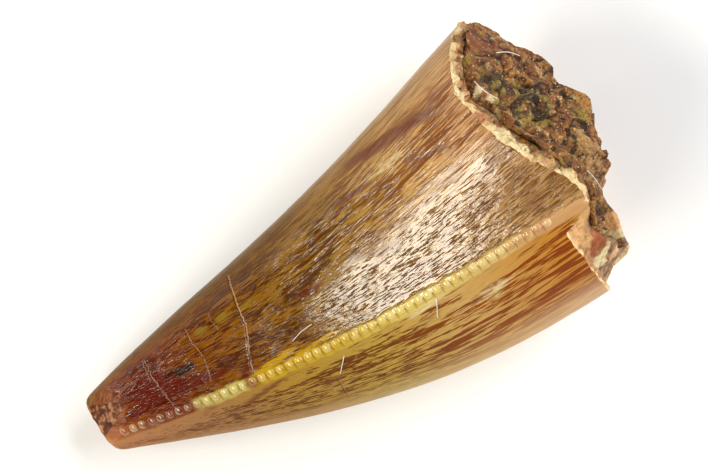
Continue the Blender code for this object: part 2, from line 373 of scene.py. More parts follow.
# Stains on the enamel, in millimetres from above: (station, across, half length, half width, strength)
STAINS = {
    "amber": ((4.62, -0.72, 0.26, 0.14, 1.0), (5.40, -0.70, 0.30, 0.14, 1.0),
              (6.30, -0.60, 0.45, 0.16, 0.8), (7.3, -0.35, 0.45, 0.14, 0.6), (6.6, 0.45, 0.5, 0.13, 0.5)),
    "wine": ((1.95, -0.30, 0.75, 0.34, 1.0), (2.65, 0.10, 0.70, 0.36, 1.0), (3.50, 0.45, 0.65, 0.24, 0.9),
             (1.45, 0.28, 0.55, 0.20, 0.9), (8.20, 0.12, 0.55, 0.17, 0.8), (7.60, -0.25, 0.35, 0.12, 0.5),
             (4.50, 0.70, 0.60, 0.16, 0.7), (9.60, -0.75, 1.4, 0.13, 0.6), (8.95, -1.05, 0.9, 0.10, 0.5),
             (5.30, 0.98, 0.35, 0.18, 0.6), (5.05, 1.22, 0.16, 0.14, 0.9), (3.60, -0.55, 0.8, 0.10, 0.6)),
    "soot": ((3.50, 0.00, 0.44, 0.15, 1.0), (3.10, -0.18, 0.40, 0.08, 0.7), (0.28, 0.13, 0.16, 0.08, 1.0),
             (2.15, 0.45, 0.35, 0.08, 0.5), (4.60, 0.25, 0.60, 0.08, 0.3)),
    "gold": ((6.10, 1.30, 1.10, 0.10, 1.0), (7.60, 1.55, 1.20, 0.10, 1.0)),
    "cream": ((1.75, 0.86, 0.30, 0.10, 1.0), (12.5, -1.75, 1.4, 0.25, 0.5), (12.9, 3.1, 0.9, 0.25, 0.6),
              (11.0, 2.42, 0.9, 0.14, 0.7)),
    "plum": ((5.2, 1.90, 1.3, 0.14, 0.7), (3.4, 1.45, 0.8, 0.12, 0.5), (12.4, -2.35, 1.6, 0.22, 1.0),
             (14.6, -1.95, 1.1, 0.60, 0.4), (11.0, -1.55, 1.5, 0.12, 0.7), (13.6, -1.20, 1.2, 0.14, 0.5),
             (15.4, 1.70, 0.6, 0.50, 0.35), (15.5, 0.2, 0.5, 1.4, 0.35)),
}

# Cracks across the enamel, in millimetres seen from above: points as (station, place across)
CRACKS = (
    ((6.23, -1.68), (6.16, -1.18), (6.07, -0.72), (5.98, -0.12), (5.83, 0.24), (5.58, 0.67), (5.42, 1.00),
     (5.35, 1.30)),
    ((2.44, -0.98), (2.38, -0.60), (2.35, -0.26)),
    ((2.51, -0.94), (2.47, -0.40), (2.52, 0.10), (2.55, 0.75)),
    ((4.19, -1.04), (4.18, -0.51), (4.27, -0.05), (4.15, 0.46), (4.02, 0.71)),
    ((5.08, -1.00), (5.13, -0.39)),
    ((7.40, 2.72), (7.36, 3.10), (7.30, 3.51)),
)
CRACK_WIDTHS = (0.024, 0.009, 0.011, 0.010, 0.007, 0.012)
NO_CRACK = 5.0


def lay_out(item):
    """Give each vertex its place on the crown, its stains and its distance from the cracks."""
    spots = positions(item)
    station = spots[:, 0] + MIDDLE_STATION
    wide = half_width(station)
    sine = (MIDDLE_ACROSS - axis_across(station) - spots[:, 1]) / wide
    cosine = (spots[:, 2] - axis_height(station)) / (DEPTH_RATIO * wide)
    angle = np.arctan2(sine, cosine)
    turn = np.remainder(angle - keel_angle(station) + math.pi, 2 * math.pi) - math.pi
    along = station / MM
    across = (MIDDLE_ACROSS - spots[:, 1]) / MM
    reach = np.sqrt(wide / MM * SKIN_SPREAD)
    keep(item, "place", along, np.cos(angle), np.sin(angle))
    keep(item, "skin", along, reach * np.cos(angle), reach * np.sin(angle))
    flank = np.clip(turn / FLANK_BLEND, 0, 1) * (turn < FLANK_END)
    flank = np.maximum(flank, (turn < FLANK_BACK) * 1.0)
    shoulder = np.clip((-np.degrees(angle) - SHOULDER_START) / SHOULDER_RUN, 0, 1) * (flank == 0)
    keep(item, "faces", turn * wide / MM, flank, shoulder)
    upper = np.clip(np.cos(angle) * UPPER_EDGE + 1, 0, 1)
    fields = []
    for patches in STAINS.values():
        total = np.zeros(len(spots))
        for middle, middle_across, length, width, strength in patches:
            far = ((along - middle) / length) ** 2 + ((across - middle_across) / width) ** 2
            total += strength * np.exp(-far)
        fields.append(np.clip(total, 0, 1) * upper)
    keep(item, "warm_stains", *fields[:3])
    keep(item, "pale_stains", *fields[3:])
    gaps = []
    for crack in CRACKS:
        stations, places = zip(*crack)
        gap = along - np.interp(across, places, stations)
        beyond = (across > places[-1]) | (across < places[0]) | (np.cos(angle) < 0)
        gaps.append(np.where(beyond, np.where(gap < 0, -NO_CRACK, NO_CRACK), gap))
    cut = (spots - np.array(WEAR_FROM)) @ np.array(WEAR_NORMAL)
    inside = WORN_SLOPE * (WORN_END - along) - abs(across - WORN_MIDDLE)
    patch = np.clip(inside / WORN_EDGE + 0.3, 0, 1)
    keep(item, "worn", np.clip(3 + cut / (0.04 * MM), 0, 1) * patch * (np.cos(angle) > 0))
    keep(item, "first_cracks", *gaps[:3])
    keep(item, "other_cracks", *gaps[3:])


# Tints of the broken wall, as (x, y, z, radius) in millimetres: rose, wine, then cream bands and blocks
WALL_TINTS = (
    ((6.75, -2.53, 7.06, 0.42), (7.20, -2.30, 7.01, 0.36), (6.85, -2.95, 6.60, 0.30),
     (7.20, -3.68, 5.0, 0.35), (7.75, -2.90, 2.2, 0.55)),
    ((7.01, -3.12, 6.25, 0.30), (6.76, -3.36, 6.16, 0.22), (7.10, -2.75, 6.55, 0.16),
     (6.15, 1.85, 7.50, 0.24)),
    ((6.41, -2.44, 7.52, 0.22), (6.49, -3.18, 6.80, 0.20), (6.79, -3.62, 5.76, 0.40),
     (7.60, -3.40, 2.6, 0.45), (6.44, 1.12, 7.73, 0.30), (6.53, 0.73, 7.94, 0.32),
     (6.65, 0.38, 8.07, 0.28), (6.04, 3.31, 6.49, 0.30), (6.03, 2.79, 6.96, 0.30),
     (5.98, 2.50, 7.15, 0.20), (7.23, -0.88, 8.28, 0.25)),
)


def skin_relief(station, angle):
    """Low relief of the enamel, in metres: slow waves and the coarser of its lengthwise wrinkles."""
    along = station / MM
    reach = math.sqrt(max(half_width(station), 0.0) / MM * SKIN_SPREAD)
    up = reach * math.cos(angle)
    side = reach * math.sin(angle)
    waves = WAVE_HEIGHT * noise.noise(Vector((0.55 * along, 0.9 * up, 0.9 * side)))
    fold = abs(noise.noise(Vector((1.1 * along, 4.2 * up, 4.2 * side))))
    furrows = FURROW_HEIGHT * (FURROW_LEVEL - fold)
    fade = min(1.0, along / TIP_FADE) if along > 0 else 0.0
    return MM * fade * (waves + furrows)


def crown_place(turn, row):
    """Rows from the tip along the outside, over the broken wall and back down the pulp cavity."""
    if row < len(TIP_STEPS):
        back, share = TIP_STEPS[row]
        station = TIP_START + back
        angle = keel_angle(station) + turn
        return on_tooth(crown_point(station, angle, share)), 0.0
    row -= len(TIP_STEPS) - 1
    tip_end = TIP_START + TIP_STEPS[-1][0]
    if row <= SKIN_ROWS:
        station = tip_end + (SKIN_END - tip_end) * row / SKIN_ROWS
        angle = keel_angle(station) + turn
        return on_tooth(crown_point(station, angle, lift=skin_relief(station, angle))), 0.0
    row -= SKIN_ROWS
    if row <= RIM_ROWS:
        station = SKIN_END + (outer_rim(turn) - SKIN_END) * row / RIM_ROWS
        angle = keel_angle(min(station, CROWN_LENGTH)) + turn
        lift = (1 - row / RIM_ROWS) * skin_relief(station, angle) - spall(station, turn)
        return on_tooth(crown_point(station, angle, lift=lift)), 0.0
    row -= RIM_ROWS
    if row <= WALL_ROWS:
        point, low = wall_point(turn, row / WALL_ROWS)
        return on_tooth(point), low
    fraction = LINING[row - WALL_ROWS - 1]
    return on_tooth(cavity_point(CAVITY_START + fraction * (inner_rim(turn) - CAVITY_START), turn)), 0.0


def spall(station, turn):
    """How much of the outer skin has come off beyond the chip, on the lower side."""
    beyond = min(1.0, max(0.0, (station - CHIP_STATION) / SPALL_RUN))
    return SPALL_DEPTH * beyond * swell(turn, SPALL_TURN, SPALL_SPREAD)


def wall_point(turn, share):
    """A point on the broken wall, from the enamel at share 0 to the pulp cavity at share 1, and how much
    painted shade it gets in crevices and recesses.
    """
    angle = keel_angle(CROWN_LENGTH) + turn
    start = crown_point(outer_rim(turn), angle, lift=-spall(outer_rim(turn), turn))
    end = cavity_point(inner_rim(turn), turn)
    point = start.lerp(end, share)
    inside = min(1.0, 11 * share) * min(1.0, 6 * (1 - share))
    rough = WALL_ROUGHNESS
    if CHIP_START < turn < CHIP_END:
        hollow = share * (1 + 4 * (CHIP_HOLLOW - 0.5) * (1 - share))
        point.x = start.x + hollow * (end.x - start.x)
        rough = CHIP_ROUGHNESS
        scoop = math.exp(-((share - SCOOP_MIDDLE) / SCOOP_WIDTH) ** 2)
        point.x -= SCOOP_DEPTH * scoop * swell(turn, SCOOP_TURN, SCOOP_SPREAD)
    shake = noise.noise_vector(point / (0.26 * MM)) + 0.6 * noise.noise_vector(point / (0.09 * MM))
    height, crevice = cobble(point, WALL_LUMP, Vector((1.7, 4.4, 2.9)))
    point.x += inside * (0.8 * height - 0.11 * MM - 0.03 * MM * crevice)
    point += rough * inside * shake
    if BLOCKS_START < angle < BLOCKS_END and share < 0.7:
        block = math.floor((angle - BLOCKS_START) / BLOCK_WIDTH)
        point.x += BLOCK_STEP * (noise.cell(Vector((block + 0.5, 3.5, 0.5))) - 0.3) * min(1.0, 6 * share)
    # The second value is painted shade for the crevices between lumps and for recessed spots
    return point, inside * (0.6 * crevice + 0.5 * max(0.0, -shake.x))


def on_tooth(point):
    """Flatten what lies beyond the worn facet of the tip, or below the surface that the tooth rests on."""
    beyond = (point - WEAR_FROM).dot(WEAR_NORMAL)
    if beyond > 0 and point.x + MIDDLE_STATION < 2.5 * MM:
        point = point - WEAR_NORMAL * beyond
        grain = noise.noise(point / (0.11 * MM)) + 0.6 * noise.noise(point / (0.045 * MM))
        point -= WEAR_NORMAL * WEAR_ROUGHNESS * (0.5 + 0.5 * grain) * min(1.0, beyond / (0.06 * MM))
    point.z = max(point.z, 0.0)
    return point


WEAR_FROM = crown_point(WEAR_LENGTH, WEAR_ANGLE)


def build_crown():
    skin_rows = len(TIP_STEPS) - 1 + SKIN_ROWS + RIM_ROWS
    rows = skin_rows + WALL_ROWS + len(LINING)
    item = wrapped_grid("crown_shell", CROWN_TURNS, rows, crown_place, skin_rows)
    lay_out(item)
    tint(item, "wall_tints", WALL_TINTS)
    return item


def matrix_relief(y, z):
    """Height of the mudstone's broken end above its smooth dome, as in the solids."""
    place = Vector((1.0, y / MATRIX_GRAIN, z / MATRIX_GRAIN))
    relief = MATRIX_ROUGHNESS * (noise.noise(place) + 0.5 * noise.noise(FINER_GRAIN * place))
    for place_y, place_z, radius, height in MATRIX_LUMPS:
        reach = ((y / MM - place_y) ** 2 + (z / MM - place_z) ** 2) / radius ** 2
        relief += height * MM * math.exp(-reach)
    return relief


def cobble(point, size, start):
    """Rounded lumps, pressed together: how far the lump at a point swells, and the crevice round it."""
    scaled = point / size + start
    distances, seeds = noise.voronoi(scaled)
    dome = math.sqrt(max(0.0, 1.0 - min(1.0, distances[0] / 0.85) ** 2))
    grown = 0.75 + 0.9 * noise.noise(3.1 * seeds[0] + Vector((4.0, 9.0, 2.0)))
    crevice = max(0.0, 1.0 - 4.0 * (distances[1] - distances[0]))
    return size * 0.62 * dome * grown, crevice


def crumble(point, y, z):
    """The crumbs of the broken mudstone at a point: how far they swell out, and how much painted shade it
    gets in crevices and where it lies deep.
    """
    bent = point + noise.noise_vector(point / (0.7 * MM)) * CRUMB_BEND
    relief = 0.0
    gaps = []
    for size, share, start in CRUMBS:
        height, gap = cobble(bent, size, start)
        relief += share * height
        gaps.append(gap)
    calm = math.exp(-((y / MM - CALM_SPOT[0]) ** 2 + (z / MM - CALM_SPOT[1]) ** 2) / CALM_AREA)
    relief = (relief - CRUMB_LEVEL) * (1 - 0.5 * calm)
    low = CREVICE_SHADE_WEIGHTS[0] * gaps[0] ** 2 + CREVICE_SHADE_WEIGHTS[1] * gaps[1] ** 2 + CREVICE_SHADE_WEIGHTS[2] * gaps[2]
    return relief, low - DEPTH_SHADE_LEVEL * relief / MM


def matrix_place(turn, row):
    """Rows up the cavity from its deep end, then inwards over the broken end."""
    rim_station = inner_rim(turn) - RECESS * swell(turn, RECESS_TURN, RECESS_SPREAD)
    rim = cavity_point(rim_station, turn, MATRIX_GAP)
    if row < len(MATRIX_SIDE):
        station = CAVITY_START + MATRIX_SIDE[row] * (rim_station - CAVITY_START)
        return cavity_point(station, turn, MATRIX_GAP), 0.0
    share = 1 - (row - len(MATRIX_SIDE) + 1) / MATRIX_ROWS
    y = (rim.y - MATRIX_CENTRE.y) * share
    z = (rim.z - MATRIX_CENTRE.z) * share
    plane = MATRIX_CENTRE.x - RIM_LEAN * z + MATRIX_DOME * (1 - share ** 2)
    inside = 1 - share ** EDGE_POWER
    low_side = swell(turn, LOW_SIDE, LOW_SIDE_SPREAD)
    proud = MATRIX_PROUD * (1 - low_side)
    x = rim.x + inside * (plane - rim.x + matrix_relief(y, z)) + proud * (1 - inside)
    point = Vector((x, MATRIX_CENTRE.y + y, MATRIX_CENTRE.z + z))
    rough = min(1.0, (1 - share) * 14)
    relief, low = crumble(point, y, z)
    shake = noise.noise_vector(point / (0.32 * MM)) * STONE_SHAKE
    ragged = 0.35 + waver(turn, 4.0, 9.3) + 0.5 * waver(turn, 13.0, 2.3)
    lap = math.exp(-((share - LAP_SHARE) / LAP_SPREAD) ** 2) * (1 - low_side)
    outwards = Vector((0.0, y, z)).normalized() * CRUST * max(0.0, ragged) * lap
    point += rough * (Vector((relief, 0.0, 0.0)) + shake) + outwards
    step_back = SETBACK * min(1.0, max(0.0, (SETBACK_FROM - point.y) / SETBACK_RUN))
    point.x -= TRIM * past_outline(point, step_back)
    return point, rough * low


MATRIX_CENTRE = oval_point(RIM_STATION, 0.0, 0.0, 0.0) + Vector((0.0, CAVITY_SHIFT, 0.0))


def build_matrix():
    side_rows = len(MATRIX_SIDE) - 1
    item = wrapped_grid("mudstone_filling", MATRIX_TURNS, side_rows + MATRIX_ROWS, matrix_place, side_rows)
    tint(item, "stone_tints", STONE_TINTS_AND_SHADE)
    tint(item, "more_tints", MORE_TINTS)
    return item


# Tints of the mudstone, as (x, y, z, radius) in millimetres: moss, russet and painted shade over dark
# recesses, then tan and amber
STONE_TINTS_AND_SHADE = (
    ((7.13, 1.22, 6.69, 0.30), (7.34, 0.95, 6.12, 0.30), (7.68, 0.84, 5.88, 0.30), (6.9, 2.0, 6.6, 0.22),
     (7.9, 0.9, 5.2, 0.30), (7.3, -0.3, 7.3, 0.20), (8.6, 0.3, 4.0, 0.4)),
    ((7.07, 4.02, 5.10, 0.50), (7.40, 3.64, 4.98, 0.60), (7.71, -1.04, 7.69, 0.30), (7.0, 3.3, 6.0, 0.5),
     (7.9, 3.0, 4.6, 0.5)),
    ((7.50, 1.73, 5.75, 0.48), (7.83, 1.58, 5.52, 0.45), (7.16, 0.37, 7.61, 0.30), (7.2, 2.6, 6.3, 0.40),
     (7.0, 0.5, 7.2, 0.22), (7.81, -0.15, 5.97, 0.14), (7.53, -2.4, 5.6, 0.2), (7.59, -3.2, 4.3, 0.25)),
)
MORE_TINTS = (
    ((7.94, -1.24, 5.47, 0.55), (8.24, -0.91, 5.52, 0.45), (7.66, -1.61, 5.46, 0.5),
     (8.2, -0.35, 5.6, 0.35), (6.9, 2.5, 6.5, 0.22), (7.6, -0.6, 6.6, 0.4)),
    ((7.55, 2.47, 5.10, 0.26), (9.06, 0.63, 2.66, 0.5), (7.6, -1.9, 6.2, 0.3), (7.9, 2.0, 5.0, 0.2)),
    ((6.6, 2.6, 6.6, 0.13), (6.75, 2.2, 6.75, 0.10)),
)


def loose_denticle():
    """One denticle: a cube drawn out into a rounded loaf, standing on the origin."""
    start_clean()
    bpy.ops.mesh.primitive_cube_add(size=1)
    item = bpy.context.active_object
    item.name = "loose_denticle"
    bpy.ops.object.mode_set(mode="EDIT")
    bpy.ops.mesh.select_all(action="SELECT")
    bpy.ops.mesh.subdivide(number_cuts=3)
    bpy.ops.transform.tosphere(value=0.95)
    bpy.ops.transform.resize(value=DENTICLE_SIZE)
    bpy.ops.object.mode_set(mode="OBJECT")
    bpy.ops.object.shade_smooth()
    return item


def build_denticles(name, base_turn, loose):
    """A row of denticles along one carina, each a copy with its own mesh, joined into one piece."""
    copies = []
    for step in range(DENTICLE_COUNT):
        station = DENTICLE_START + (step + 0.5) * DENTICLE_PITCH
        angle = keel_angle(station) + base_turn
        ahead = crown_point(station + 0.05 * MM, keel_angle(station + 0.05 * MM) + base_turn)
        middle = crown_point(station, angle)
        along = (ahead - middle).normalized()
        out = Vector((0.0, -DEPTH_RATIO * math.sin(angle), math.cos(angle))).normalized()
        out = (out - along * out.dot(along)).normalized()
        chance = noise.noise(Vector((3.7 * step, 1.3, 8.8)))
        grown = 0.92 + 0.12 * chance
        copy = loose.copy()
        copy.data = loose.data.copy()
        bpy.context.scene.collection.objects.link(copy)
        matrix = Matrix((along, out.cross(along), out)).transposed().to_4x4()
        matrix.translation = middle - out * (DENTICLE_SINK + 0.03 * MM * chance)
        copy.data.transform(matrix @ Matrix.Scale(grown, 4))
        copies.append(copy)
    start_clean()
    for copy in copies:
        copy.select_set(True)
    bpy.context.view_layer.objects.active = copies[0]
    bpy.ops.object.join()
    item = bpy.context.active_object
    item.name = name
    item.data.name = name
    low = [vertex for vertex in item.data.vertices if vertex.co.z < 0.0]
    for vertex in low:
        vertex.co.z = 0.0
    lay_out(item)
    return item


# Fibres of lint: points as (station or x, place across, height above what it lies on), in millimetres
LINT = (
    ((6.96, 1.08, 0.02), (7.15, 1.03, 0.05), (7.34, 0.99, 0.05), (7.55, 0.98, 0.04), (7.75, 0.98, 0.02)),
    ((7.57, 2.66, 0.02), (7.66, 2.58, 0.05), (7.77, 2.47, 0.06), (7.90, 2.37, 0.05), (8.02, 2.26, 0.02)),
    ((11.06, 2.86, 0.02), (11.13, 2.72, 0.06), (11.22, 2.59, 0.08), (11.30, 2.45, 0.06),
     (11.38, 2.32, 0.02)),
)
LINT_RADIUS = 0.013 * MM

# Fibres on the mudstone: points as (x, y, z), in millimetres
STONE_LINT = (
    ((6.62, 2.85, 6.50), (6.66, 2.60, 6.66), (6.76, 2.32, 6.80), (6.90, 2.05, 6.84)),
    ((7.60, 3.20, 5.60), (7.82, 3.10, 5.30), (8.00, 2.92, 5.02), (8.10, 2.76, 4.70)),
    ((7.60, -0.60, 7.25), (7.86, -1.00, 6.95), (7.98, -1.45, 6.70), (7.95, -1.90, 6.50)),
)


def on_skin(points):
    """Where a fibre runs that lies along the enamel."""
    path = []
    for along, across, height in points:
        station = along * MM
        sine = (across * MM - axis_across(station)) / half_width(station)
        angle = math.asin(max(-0.99, min(0.99, sine)))
        path.append(crown_point(station, angle, lift=height * MM + LINT_RADIUS))
    return path


def lint_fibre(number, path):
    """A fibre of lint: a bevelled curve, made a mesh."""
    start_clean()
    curve = bpy.data.curves.new("lint_%d" % number, "CURVE")
    curve.dimensions = "3D"
    curve.bevel_depth = LINT_RADIUS
    curve.bevel_resolution = 2
    curve.use_fill_caps = True
    curve.resolution_u = 6
    spline = curve.splines.new("NURBS")
    spline.points.add(len(path) - 1)
    for point, place in zip(spline.points, path):
        point.co = (*place, 1.0)
    spline.use_endpoint_u = True
    spline.order_u = 3
    item = bpy.data.objects.new("lint_%d" % number, curve)
    bpy.context.scene.collection.objects.link(item)
    item.select_set(True)
    bpy.context.view_layer.objects.active = item
    bpy.ops.object.convert(target="MESH")
    bpy.ops.object.shade_smooth()
    return bpy.context.active_object


def linear(red, green, blue):
    """A colour as the eye knows it, from 0 to 255, turned into light."""
    return tuple(0.85 * (value / 255) ** 2.2 for value in (red, green, blue)) + (1.0,)


UMBER = linear(66, 36, 16)
# Painted shade for the valleys of the wrinkles
CREASE_SHADE = linear(100, 58, 18)
HONEY = linear(146, 112, 34)
OLIVE = linear(140, 108, 28)
GOLD = linear(198, 152, 20)
CREAM = linear(236, 214, 160)
WINE = linear(92, 26, 14)
PLUM = linear(106, 52, 38)
RUST = linear(158, 78, 34)
SOOT = linear(34, 22, 20)
CLAY = linear(190, 140, 100)
WORN = linear(104, 54, 36)
STRAW = linear(206, 170, 104)
ROSE = linear(226, 172, 112)
AMBER = linear(176, 108, 32)
STONE_DARK = linear(46, 28, 14)
STONE_BROWN = linear(122, 80, 38)
STONE_RUSSET = linear(120, 64, 32)
STONE_ORANGE = linear(178, 120, 56)
STONE_TAN = linear(212, 170, 108)
STONE_MOSS = linear(152, 128, 54)

LAST_STATION = 17.5


def tones(*stops):
    """Colours along the tooth, each given as its station in millimetres and its red, green and blue."""
    return [(station / LAST_STATION, linear(*colour)) for station, *colour in stops]


TOP_DARK = tones((0.8, 104, 44, 12), (2.4, 66, 20, 10), (4.0, 80, 34, 8), (6.5, 76, 40, 8),
                 (9.5, 88, 52, 16), (12.5, 128, 78, 38), (15.0, 132, 78, 44))
TOP_LIGHT = tones((0.8, 158, 88, 18), (2.4, 122, 48, 14), (4.0, 132, 76, 12), (6.5, 136, 88, 18),
                  (9.5, 152, 110, 38), (12.5, 198, 152, 86), (15.0, 212, 160, 106))
EDGE_DARK = tones((1.0, 96, 60, 26), (4.0, 84, 50, 14), (8.0, 88, 56, 18), (12.0, 128, 82, 38),
                  (15.0, 150, 104, 60))
EDGE_LIGHT = tones((1.0, 140, 100, 54), (4.0, 128, 90, 36), (8.0, 130, 92, 36), (12.0, 184, 142, 82),
                   (15.0, 196, 158, 110))
LOW_DARK = tones((0.8, 120, 66, 36), (3.5, 106, 58, 28), (6.0, 104, 56, 16), (9.0, 112, 60, 18),
                 (12.0, 140, 70, 26), (15.0, 140, 64, 14))
LOW_LIGHT = tones((0.8, 184, 124, 78), (3.5, 164, 118, 70), (6.0, 172, 132, 54), (9.0, 188, 152, 66),
                  (12.0, 206, 164, 96), (15.0, 198, 136, 56))
# Painted light: pale tones laid where the enamel turns down, standing in for light from the pale floor
UNDERSIDE_PAINTED_LIGHT = tones((1.0, 190, 138, 100), (6.0, 196, 156, 108), (9.0, 220, 190, 128),
                    (12.0, 232, 188, 134), (15.0, 246, 204, 160))
CREST = tones((0.9, 158, 92, 52), (1.5, 120, 60, 34), (3.0, 112, 40, 18), (3.4, 200, 182, 100),
              (4.8, 204, 190, 104), (5.1, 140, 84, 34), (5.5, 204, 166, 34), (8.0, 208, 172, 40),
              (10.0, 226, 202, 96), (13.5, 226, 196, 116), (15.2, 212, 160, 108))


class Signal:
    """An output of a material's node that takes part in plain arithmetic."""

    def __init__(self, paint, socket):
        self.paint = paint
        self.socket = socket

    def __add__(self, other):
        return self.paint.maths("ADD", self, other)

    def __radd__(self, other):
        return self.paint.maths("ADD", other, self)

    def __sub__(self, other):
        return self.paint.maths("SUBTRACT", self, other)

    def __rsub__(self, other):
        return self.paint.maths("SUBTRACT", other, self)

    def __mul__(self, other):
        return self.paint.maths("MULTIPLY", self, other)

    def __rmul__(self, other):
        return self.paint.maths("MULTIPLY", other, self)

    def __abs__(self):
        return self.paint.maths("ABSOLUTE", self)


class Paint:
    """A material whose nodes are laid out from plain expressions."""

    def __init__(self, name):
        self.material = bpy.data.materials.new(name)
        self.material.use_nodes = True
        self.tree = self.material.node_tree
        self.tree.nodes.clear()

    def node(self, kind, settings, inputs):
        """Add a node, set it up, then give its sockets their values or links."""
        made = self.tree.nodes.new(kind)
        for key, value in settings.items():
            if key == "stops":
                self.set_stops(made.color_ramp, value)
            else:
                setattr(made, key, value)
        for key, value in inputs.items():
            if isinstance(value, Signal):
                self.tree.links.new(value.socket, made.inputs[key])
            else:
                made.inputs[key].default_value = value
        return made

    def set_stops(self, band, stops):
        while len(band.elements) < len(stops):
            band.elements.new(0.5)
        for element, (place, colour) in zip(band.elements, stops):
            element.position = place
            element.color = colour

    def signal(self, kind, settings, inputs, output=0):
        return Signal(self, self.node(kind, settings, inputs).outputs[output])

    def maths(self, operation, first, second=None):
        inputs = {0: first} if second is None else {0: first, 1: second}
        return self.signal("ShaderNodeMath", {"operation": operation}, inputs)

    def attribute(self, name):
        return self.signal("ShaderNodeAttribute", {"attribute_name": name}, {}, "Vector")

    def number(self, name):
        return self.signal("ShaderNodeAttribute", {"attribute_name": name}, {}, "Fac")

    def spot(self):
        """The place on the object, in metres."""
        return self.signal("ShaderNodeTexCoord", {}, {}, "Object")

    def split(self, vector):
        node = self.node("ShaderNodeSeparateXYZ", {}, {0: vector})
        return [Signal(self, output) for output in node.outputs]

    def stretch(self, vector, along, around):
        settings = {"operation": "MULTIPLY"}
        return self.signal("ShaderNodeVectorMath", settings, {0: vector, 1: (along, around, around)})

    def shift(self, vector, other, amount):
        scaled = self.signal("ShaderNodeVectorMath", {"operation": "SCALE"}, {0: other, "Scale": amount})
        return self.signal("ShaderNodeVectorMath", {"operation": "ADD"}, {0: vector, 1: scaled})

    def noise(self, vector, scale=1.0, detail=2.0, roughness=0.5, distortion=0.0):
        inputs = {"Vector": vector, "Scale": scale, "Detail": detail, "Roughness": roughness,
                  "Distortion": distortion}
        return self.signal("ShaderNodeTexNoise", {}, inputs, "Fac")

    def cells(self, vector, scale, output="Distance"):
        return self.signal("ShaderNodeTexVoronoi", {}, {"Vector": vector, "Scale": scale}, output)

    def rise(self, value, low, high):
        """A smooth step from 0 at low to 1 at high."""
        settings = {"interpolation_type": "SMOOTHSTEP"}
        return self.signal("ShaderNodeMapRange", settings, {0: value, 1: low, 2: high, 3: 0.0, 4: 1.0})

    def fall(self, value, low, high):
        """A smooth step from 1 at low to 0 at high."""
        settings = {"interpolation_type": "SMOOTHSTEP"}
        return self.signal("ShaderNodeMapRange", settings, {0: value, 1: low, 2: high, 3: 1.0, 4: 0.0})

    def mix(self, share, first, second):
        settings = {"data_type": "RGBA", "clamp_factor": True}
        return self.signal("ShaderNodeMix", settings, {0: share, 6: first, 7: second}, 2)

    def along(self, station, stops):
        """Colours that follow each other from the tip to the base."""
        return self.ramp(station * (1 / LAST_STATION), *stops)

    def ramp(self, value, *stops):
        return self.signal("ShaderNodeValToRGB", {"stops": stops}, {0: value}, "Color")

    def surface(self, refraction, colour, roughness, height, depth):
        """A surface with its refractive index, and a relief as deep as given."""
        bump = self.signal("ShaderNodeBump", {}, {"Strength": 1.0, "Distance": depth, "Height": height})
        inputs = {"Base Color": colour, "Roughness": roughness, "Normal": bump, "IOR": refraction}
        return self.signal("ShaderNodeBsdfPrincipled", {}, inputs)

    def blend(self, share, first, second):
        """Two surfaces in one: the second shows by the given share."""
        return self.signal("ShaderNodeMixShader", {}, {0: share, 1: first, 2: second})

    def finish(self, shader):
        self.node("ShaderNodeOutputMaterial", {}, {0: shader})
        return self.material


# How deep the relief of each material is, and its refractive index
ENAMEL_RELIEF = 0.075 * MM
DENTICLE_RELIEF = 0.02 * MM
DENTINE_RELIEF = 0.09 * MM
STONE_RELIEF = 0.12 * MM
LINT_RELIEF = 0.002 * MM
SATIN = 1.2
GLOSSY = 1.58
BONE = 1.4
STONE = 1.35
FIBRE = 1.45
FLOOR = 1.45


